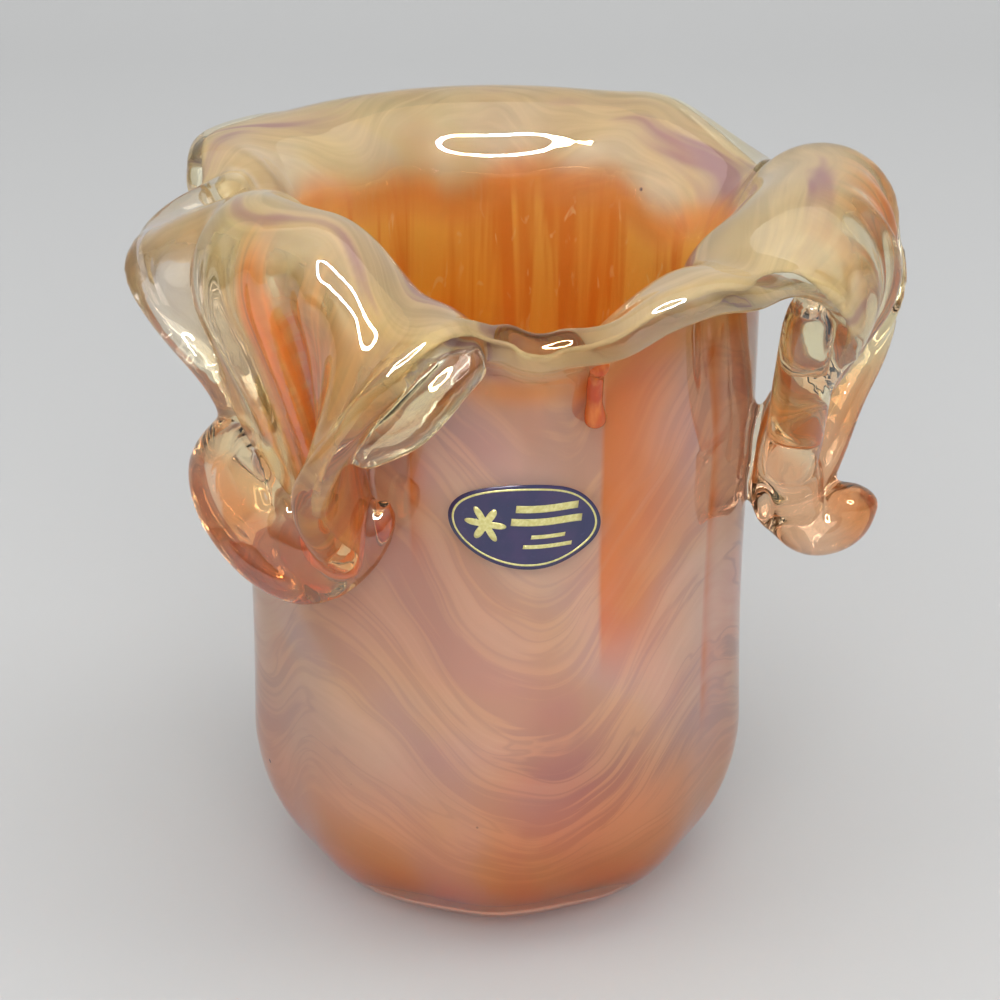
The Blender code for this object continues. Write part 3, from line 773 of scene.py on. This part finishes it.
# painted glint: a bright gold for flecks that stand in for caustic sparkles
PAINTED_GLINT = (1.0, 0.86, 0.45)
DEEP_ORANGE = (0.80, 0.20, 0.03)
BEIGE = (0.84, 0.69, 0.40)
TONGUE_ORANGE = (0.92, 0.30, 0.03)
LIP_MAUVE = (0.50, 0.29, 0.30)
SEED = (0.20, 0.07, 0.05)


LILAC = (0.93, 0.80, 0.84)  # what the tint drifts to
GLASS_IOR = 1.5
FILM_IOR = 1.75  # a thin metallic lustre on the glass, and its thinnest and thickest in nm
FILM_THICKNESS = (55.0, 150.0)


def crystal_material():
    """Clear crystal: its tint drifts, with faint cords in the glass and a thin lustre film on it."""
    m = Nodes("blown_crystal")
    place = m.place()
    tint = m.attribute("tint", vector=False)
    drift = m.noise(place, 28.0, 3.0, 0.6, 1.2)
    colour = m.mix(m.ramp(drift, 0.52, 0.72, 0.0, 0.35), tint, LILAC, "MULTIPLY")
    m.give("Base Color", colour)
    m.give("Transmission Weight", 1.0)
    m.give("IOR", GLASS_IOR)
    m.give("Specular IOR Level", 0.5)
    rough = m.ramp(m.noise(place, 60.0, 2.0), 0.3, 0.8, 0.012, 0.035)
    m.give("Roughness", rough)
    wave = m.noise(place, 55.0, 2.0, 0.4, 0.5)
    m.give("Normal", m.bump(wave, 0.12, 0.0015))
    film = m.ramp(m.noise(place, 22.0, 2.0, 0.5, 0.6), 0.32, 0.68, *FILM_THICKNESS)
    m.give("Thin Film Thickness", film)
    m.give("Thin Film IOR", FILM_IOR)
    return m.material


def marbled_material():
    """Opal salmon with mauve feathering, orange panels, and an amber inner face; it thins out in the lip.

    Painted shade darkens the lower body, a painted orange glow brightens the foot as if lit through the
    base, and painted gold glints fleck the upper inner face.
    """
    m = Nodes("marbled_opal")
    flow = m.attribute("flow")
    zone = m.parts(m.attribute("zone"))
    extra = m.parts(m.attribute("extra"))
    side = m.parts(m.attribute("side"))
    place = m.place()
    bend = m.vector("SUBTRACT", m.noise(place, 20.0, 2.0, 0.5, 0.0, colour=True), (0.5, 0.5, 0.5))
    bent = m.vector("ADD", flow, m.vector("MULTIPLY", bend, (0.030, 0.034, 0.0)))
    broad = m.noise(m.vector("MULTIPLY", bent, (13.0, 62.0, 1.0)), 1.0, 3.0, 0.55, 0.5)
    fine = m.noise(m.vector("MULTIPLY", bent, (26.0, 330.0, 1.0)), 1.0, 4.0, 0.6, 0.3)
    calm = m.ramp(m.noise(place, 13.0, 1.0), 0.40, 0.60, 0.5, 1.0)
    streak = m.math("ADD", m.times(broad, 0.72), m.times(fine, 0.28))
    mauve = m.times(m.ramp(streak, 0.495, 0.565), calm)
    ridge = m.math("ABSOLUTE", m.math("SUBTRACT", broad, 0.47))
    line = m.times(m.ramp(ridge, 0.026, 0.002), calm)
    pale = m.ramp(streak, 0.48, 0.36)
    salmon = m.mix(m.ramp(m.noise(place, 16.0, 2.0), 0.35, 0.7), SALMON, ROSE)
    outside = m.mix(m.times(mauve, 0.85), salmon, MAUVE)
    outside = m.mix(m.times(pale, 0.6), outside, PEACH)
    outside = m.mix(m.times(line, 0.38), outside, PLUM)
    haze = m.times(m.ramp(m.noise(place, 19.0, 2.0, 0.6), 0.52, 0.72), 0.45)
    outside = m.mix(haze, outside, HAZE)
    bands = m.times(zone[0], m.ramp(broad, 0.34, 0.54, 0.6, 1.0), clamp=True)
    outside = m.mix(bands, outside, ORANGE)
    # painted shade: darkens the layer towards the bottom of the body, as the light falls from above
    outside = m.mix(m.ramp(extra[1], 0.34, 0.0), outside, PAINTED_LOW_SHADE, "MULTIPLY")
    # painted glow: the foot's colour turns orange as if light shone through the base
    outside = m.mix(m.times(extra[0], 0.9), outside, PAINTED_GLOW)
    curtain = m.noise(m.vector("MULTIPLY", flow, (150.0, 13.0, 1.0)), 1.0, 3.0, 0.55, 0.6)
    golden = m.mix(m.ramp(extra[1], 0.40, 1.05), AMBER, GOLD)
    inside = m.mix(m.ramp(curtain, 0.46, 0.66, 0.0, 0.7), golden, DEEP_ORANGE)
    inside = m.mix(m.ramp(curtain, 0.44, 0.30, 0.0, 0.6), inside, GOLD)
    # painted glints: bright gold flecks high on the amber inner face stand in for caustic sparkles
    painted_glints = m.noise(m.vector("MULTIPLY", flow, (260.0, 110.0, 1.0)), 1.0, 2.0, 0.5, 1.2)
    painted_glints = m.times(m.ramp(painted_glints, 0.62, 0.70), m.ramp(extra[1], 0.55, 1.0))
    inside = m.mix(m.times(painted_glints, 0.8), inside, PAINTED_GLINT)
    colour = m.mix(side[0], outside, inside)
    fold = m.noise(m.vector("MULTIPLY", flow, (210.0, 9.0, 1.0)), 1.0, 3.0, 0.5, 0.4)
    in_tongue = m.mix(m.ramp(fold, 0.40, 0.60), TONGUE_ORANGE, BEIGE)
    creased = m.times(extra[2], 0.95, clamp=True)
    creased = m.times(creased, m.ramp(fine, 0.62, 0.45, 0.35, 1.0))
    in_tongue = m.mix(creased, in_tongue, TONGUE_ORANGE)
    in_lip = m.mix(m.ramp(broad, 0.56, 0.66), BEIGE, LIP_MAUVE)
    upper = m.mix(m.times(zone[2], 0.85), in_lip, in_tongue)
    colour = m.mix(zone[1], colour, upper)
    seam = m.times(zone[1], m.math("SUBTRACT", 1.0, zone[1]))
    colour = m.mix(m.times(seam, 3.0, clamp=True), colour, AMBER)
    seeds = m.add("ShaderNodeTexVoronoi")
    m.join(place, seeds.inputs["Vector"])
    seeds.inputs["Scale"].default_value = 62.0
    specks = m.ramp(seeds.outputs["Distance"], 0.038, 0.024)
    m.give("Base Color", m.mix(specks, colour, SEED))
    wisps = m.ramp(streak, 0.40, 0.60, 0.52, 0.80)
    dense = m.times(extra[2], 0.6)
    folds = m.math("ADD", m.ramp(fold, 0.56, 0.40, 0.10, 0.70), dense, clamp=True)
    thick = m.math("ADD", m.times(wisps, m.math("SUBTRACT", 1.0, zone[2])),
                   m.times(folds, zone[2]), clamp=True)
    clear = m.times(side[1], 0.85, clamp=True)
    thick = m.times(thick, m.math("SUBTRACT", 1.0, clear))
    solid = m.math("ADD", m.times(zone[1], thick),
                   m.math("SUBTRACT", 1.0, zone[1]), clamp=True)
    m.give("Alpha", solid)
    m.give("Roughness", 0.45)
    m.give("Transmission Weight", 0.35)
    m.give("IOR", 1.25)
    return m.material


SWEEP_COLOUR = (0.50, 0.50, 0.49, 1.0)


def build_stage():
    """A pale sweep: floor, a wide curve and a wall."""
    width, depth, rise, bend = 3.0, 1.1, 2.2, 0.5
    line = [(-2.0, 0.0), (depth - bend, 0.0)]
    steps = 16
    for k in range(1, steps + 1):
        turn = math.pi / 2 * k / steps
        line.append((depth - bend + bend * math.sin(turn), bend * (1 - math.cos(turn))))
    line.append((depth, rise))
    points = [(x, y, z) for x in (-width, width) for y, z in line]
    n = len(line)
    quads = np.array([(i, i + 1, n + i + 1, n + i) for i in range(n - 1)])[:, ::-1]
    sweep = link("sweep", mesh_of("sweep", np.array(points), quads, np.empty((0, 3), int)))
    m = Nodes("pale_sweep")
    m.give("Base Color", SWEEP_COLOUR)
    m.give("Roughness", 0.8)
    sweep.data.materials.append(m.material)


CAMERA_TARGET = Vector((0.0007, 0.0, 0.090))
CAMERA_ELEVATION = 27.0
CAMERA_DISTANCE = 0.630
CAMERA_LENS = 100.0


def towards_camera(elevation=CAMERA_ELEVATION):
    """The direction from the vase to the camera, or to a place above or below it."""
    angle = math.radians(elevation)
    return Vector((0.0, -math.cos(angle), math.sin(angle)))


def build_camera():
    data = bpy.data.cameras.new("camera")
    data.lens = CAMERA_LENS
    camera = bpy.data.objects.new("camera", data)
    bpy.context.scene.collection.objects.link(camera)
    camera.location = CAMERA_TARGET + towards_camera() * CAMERA_DISTANCE
    camera.rotation_euler = (-towards_camera()).to_track_quat("-Z", "Y").to_euler()
    bpy.context.scene.camera = camera


RING_ELEVATION = 50.0
RING_DISTANCE = 0.60
RING_RADIUS = 0.15
RING_THICKNESS = 0.019
RING_STRENGTH = 60.0
SKY_COLOUR = (0.93, 0.95, 1.0, 1.0)
SKY_LOW = (0.05, 0.22)  # the sky's height, as the upward part of a direction, and its strength there
SKY_HIGH = (0.65, 0.78)


def ring_lamp(centre, facing, radius, thickness, strength):
    """A glowing ring, which glass reflects as a hollow loop."""
    turns, sides = 64, 10
    u = np.arange(turns) * 2 * math.pi / turns
    v = np.arange(sides) * 2 * math.pi / sides
    u, v = np.meshgrid(u, v, indexing="ij")
    across = radius + thickness * np.cos(v)
    local = np.stack([across * np.cos(u), across * np.sin(u), thickness * np.sin(v)], 2).reshape(-1, 3)
    i, j = np.meshgrid(np.arange(turns), np.arange(sides), indexing="ij")
    a, b = i * sides + j, (i + 1) % turns * sides + j
    c, d = (i + 1) % turns * sides + (j + 1) % sides, i * sides + (j + 1) % sides
    quads = np.stack([a, b, c, d], -1).reshape(-1, 4)
    ring = link("ring_lamp", mesh_of("ring_lamp", local, quads, np.empty((0, 3), int)))
    ring.location = centre
    ring.rotation_euler = facing.to_track_quat("Z", "Y").to_euler()
    m = Nodes("ring_glow")
    m.give("Emission Color", (1.0, 0.98, 0.95, 1.0))
    m.give("Emission Strength", strength)
    ring.data.materials.append(m.material)
    ring.visible_camera = False
    ring.visible_diffuse = False


def area_lamp(name, place, size, power):
    """A soft lamp aimed at the vase, seen neither by the camera nor in the glass's reflections."""
    data = bpy.data.lights.new(name, "AREA")
    data.shape = "RECTANGLE"
    data.size, data.size_y = size
    data.energy = power
    lamp = bpy.data.objects.new(name, data)
    bpy.context.scene.collection.objects.link(lamp)
    lamp.location = place
    aim = CAMERA_TARGET - Vector(place)
    lamp.rotation_euler = aim.to_track_quat("-Z", "Y").to_euler()
    lamp.visible_camera = False
    lamp.visible_glossy = False


def build_lights():
    """A sky that brightens upwards, a ring lamp over the camera and soft lamps all round."""
    world = bpy.data.worlds.new("studio")
    bpy.context.scene.world = world
    world.use_nodes = True
    back = world.node_tree.nodes["Background"]
    back.inputs["Color"].default_value = SKY_COLOUR
    tree = world.node_tree
    direction = tree.nodes.new("ShaderNodeSeparateXYZ")
    tree.links.new(tree.nodes.new("ShaderNodeTexCoord").outputs["Generated"], direction.inputs[0])
    glow = tree.nodes.new("ShaderNodeMapRange")
    for key, number in (("From Min", SKY_LOW[0]), ("From Max", SKY_HIGH[0]),
                        ("To Min", SKY_LOW[1]), ("To Max", SKY_HIGH[1])):
        glow.inputs[key].default_value = number
    tree.links.new(direction.outputs[2], glow.inputs["Value"])
    tree.links.new(glow.outputs["Result"], back.inputs["Strength"])
    towards_ring = towards_camera(RING_ELEVATION)
    ring_lamp(CAMERA_TARGET + towards_ring * RING_DISTANCE, towards_ring, RING_RADIUS, RING_THICKNESS,
              RING_STRENGTH)
    area_lamp("front_soft", (0.0, -1.3, 0.8), (1.4, 1.0), 15.0)
    area_lamp("top_soft", (0.1, 0.1, 1.3), (1.1, 1.1), 6.5)
    area_lamp("left_soft", (-1.0, -0.3, 0.7), (0.7, 0.9), 3.0)
    area_lamp("right_soft", (1.1, -0.1, 0.6), (0.5, 0.9), 3.0)


def build_glass():
    """The crystal pieces and the marbled layer; returns the crystal's whole skin."""
    parts, along, points, normals = raw_glass()
    skin = melted(joined(parts))
    pieces = cut_skin(skin, along, points, normals)
    crystal = crystal_material()
    for name, piece in pieces.items():
        piece.data.materials.append(crystal)
        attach(piece, "root")
        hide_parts(name)
    colour = marbled_sheet()
    colour.data.materials.append(marbled_material())
    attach(colour, "root")
    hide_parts("marbled_layer")
    return skin


FAR_OUT = 0.2  # a distance that lies outside all the glass

# The drip: its angle and how far it strays to the right in degrees, and its radii
DRIP_ANGLE = 290.0
DRIP_LEAN = 2.0
DRIP_RADIUS = 1.75 * MM
DRIP_KNOB = 0.55 * MM  # what the knob at its end adds
DRIP_ROOT = 0.4 * MM  # and what its root adds
DRIP_STEPS = 44


def build_drip(surface):
    """A drip of orange glass that runs down the casing from under the lip."""
    low, high = (Vector(corner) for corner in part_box("front_drip"))
    centres, radii = [], []
    top = high.z + 2.5 * MM
    bottom = low.z + 1.2 * MM
    for k in range(DRIP_STEPS):
        share = k / (DRIP_STEPS - 1)
        height = top + (bottom - top) * share
        angle = math.radians(DRIP_ANGLE + DRIP_LEAN * share)
        outward = Vector((math.cos(angle), math.sin(angle), 0.0))
        hit = surface.ray_cast(outward * FAR_OUT + Vector((0.0, 0.0, height)), -outward)[0]
        away = 0.2 * MM + 1.3 * MM * smooth(share / 0.5)
        radius = DRIP_RADIUS + DRIP_KNOB * smooth((share - 0.62) / 0.25)
        radius += DRIP_ROOT * (1 - smooth(share / 0.2))
        radius *= math.sqrt(max(0.02, 1 - max(0.0, (share - 0.88) / 0.12) ** 2))
        centres.append(tuple(hit + outward * away))
        radii.append(float(radius))
    smooth_line = np.array(centres)
    for _ in range(6):
        smooth_line[1:-1] = (smooth_line[:-2] + 2 * smooth_line[1:-1] + smooth_line[2:]) / 4
    drip = link("drip_glass", mesh_of("drip_glass", *rod_points(smooth_line, radii, 20)))
    m = Nodes("orange_drip")
    streaks = m.noise(m.vector("MULTIPLY", m.place(), (400.0, 400.0, 90.0)), 1.0, 3.0)
    m.give("Base Color", m.mix(m.ramp(streaks, 0.35, 0.7), (0.62, 0.09, 0.015), (0.88, 0.27, 0.05)))
    m.give("Transmission Weight", 0.45)
    m.give("Roughness", 0.06)
    drip.data.materials.append(m.material)
    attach(drip, "root")
    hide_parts("front_drip")


# Label: an oval of foil with a plain gold border, a round flower and bars, in mm from its middle
LABEL_ANGLE = 277.0
LABEL_HEIGHT = 112.0 * MM
LABEL_SIZE = (34.0, 20.0)
LABEL_TILT = -9.0
FOIL = 0.12 * MM
PRINT = 0.03 * MM
FOIL_LIFT = 0.02 * MM
BODY_RADIUS = 56.5 * MM
BORDER = (32.4, 18.4, 0.45)  # width, height and line


def on_label(surface, across, up, lift):
    """The place on the glass for a point of the label."""
    up = up + across * math.tan(math.radians(LABEL_TILT))
    angle = math.radians(LABEL_ANGLE) + across * MM / BODY_RADIUS
    outward = Vector((math.cos(angle), math.sin(angle), 0.0))
    height = LABEL_HEIGHT + up * MM
    hit = surface.ray_cast(outward * FAR_OUT + Vector((0.0, 0.0, height)), -outward)[0]
    return tuple(hit + outward * lift)


def foil_patch(surface, outline, low, high, rings=8):
    """A thin closed patch of foil that fills an outline drawn round its own middle."""
    outline = np.array(outline)
    middle = outline.mean(axis=0)
    count = len(outline)
    flat = [middle]
    for ring in range(1, rings + 1):
        flat.extend(middle + (outline - middle) * ring / rings)
    points = [on_label(surface, x, y, lift) for lift in (low, high) for x, y in flat]
    size = len(flat)
    quads, fans = [], []
    for k in range(count):
        n = (k + 1) % count
        fans.append((size, size + 1 + k, size + 1 + n))
        fans.append((0, 1 + n, 1 + k))
        for ring in range(rings - 1):
            a, b = 1 + ring * count, 1 + (ring + 1) * count
            quads.append((size + a + k, size + b + k, size + b + n, size + a + n))
            quads.append((a + n, b + n, b + k, a + k))
        rim = 1 + (rings - 1) * count
        quads.append((rim + k, rim + n, size + rim + n, size + rim + k))
    return np.array(points), np.array(quads), np.array(fans)


def foil_ring(surface, width, height, line, low, high, count=120):
    """A thin closed ring of foil: an oval line."""
    flat = []
    for shrink in (0.0, line):
        for k in range(count):
            turn = 2 * math.pi * k / count
            flat.append(((width / 2 - shrink) * math.cos(turn), (height / 2 - shrink) * math.sin(turn)))
    points = [on_label(surface, x, y, lift) for lift in (low, high) for x, y in flat]
    size, quads = 2 * count, []
    for k in range(count):
        n = (k + 1) % count
        quads.append((size + k, size + n, size + count + n, size + count + k))
        quads.append((k, count + k, count + n, n))
        quads.append((k, n, size + n, size + k))
        quads.append((count + k, size + count + k, size + count + n, count + n))
    return np.array(points), np.array(quads), np.empty((0, 3), int)


def oval(width, height, count=96):
    """Points round an oval."""
    turns = [2 * math.pi * k / count for k in range(count)]
    return [(width / 2 * math.cos(t), height / 2 * math.sin(t)) for t in turns]


def flower(x, y, radius, petals=6, count=96):
    """Points round a flower with round petals."""
    line = []
    for k in range(count):
        turn = 2 * math.pi * k / count
        reach = radius * (0.68 + 0.32 * math.cos(petals * turn))
        line.append((x + reach * math.cos(turn), y + reach * math.sin(turn)))
    return line


def bar(x, y, width, height, count=24):
    """A bar with slanted ends, its long edges in short steps so that they follow the glass."""
    line = [(x - width / 2 + width * k / count, y - height / 2) for k in range(count + 1)]
    line += [(x + width / 2 + 0.2 - width * k / count, y + height / 2) for k in range(count + 1)]
    return line


def build_label(surface):
    """A navy foil oval on the glass, with its print as one thin piece over it."""
    foil = foil_patch(surface, oval(*LABEL_SIZE), FOIL_LIFT, FOIL, 14)
    label = link("label_foil", mesh_of("label_foil", *foil))
    m = Nodes("navy_foil")
    place = m.place()
    grain = m.noise(place, 900.0, 4.0, 0.6)
    cloud = m.noise(place, 160.0, 2.0)
    colour = m.mix(m.ramp(cloud, 0.35, 0.7), (0.018, 0.020, 0.075), (0.035, 0.022, 0.085))
    colour = m.mix(m.ramp(grain, 0.55, 0.8, 0.0, 0.3), colour, (0.07, 0.07, 0.16))
    m.give("Base Color", colour)
    m.give("Roughness", m.ramp(grain, 0.3, 0.7, 0.28, 0.42))
    m.give("Normal", m.bump(grain, 0.15, 0.00005))
    m.give("Coat Weight", 0.4)
    label.data.materials.append(m.material)
    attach(label, "root")
    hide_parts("label")

    gold = Nodes("gold_print")
    fleck = gold.noise(gold.place(), 1400.0, 3.0)
    gold.give("Base Color", gold.mix(gold.ramp(fleck, 0.3, 0.75), (0.62, 0.56, 0.20), (0.76, 0.71, 0.34)))
    gold.give("Roughness", gold.ramp(fleck, 0.3, 0.7, 0.30, 0.50))
    gold.give("Metallic", 0.35)
    shapes = [foil_ring(surface, *BORDER, FOIL, FOIL + PRINT)]
    outlines = [flower(-9.2, 0.0, 4.3), bar(4.2, 4.3, 14.5, 1.7), bar(4.2, 1.2, 16.5, 1.7),
                bar(4.2, -2.3, 8.0, 0.9), bar(4.2, -4.6, 11.5, 0.9)]
    shapes += [foil_patch(surface, line, FOIL, FOIL + PRINT, 4) for line in outlines]
    shape_objects = [link("print", mesh_of("print", *shape)) for shape in shapes]
    printed = joined(shape_objects)
    printed.name = "label_print"
    printed.data.name = "label_print"
    printed.data.materials.append(gold.material)
    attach(printed, "root")


def main():
    bpy.context.scene.view_settings.view_transform = "Standard"
    build_camera()
    build_stage()
    build_lights()
    skin = build_glass()
    co, loops, _ = mesh_arrays(skin)
    surface = BVHTree.FromPolygons([Vector(c) for c in co], loops.reshape(-1, 4).tolist())
    build_drip(surface)
    build_label(surface)


main()
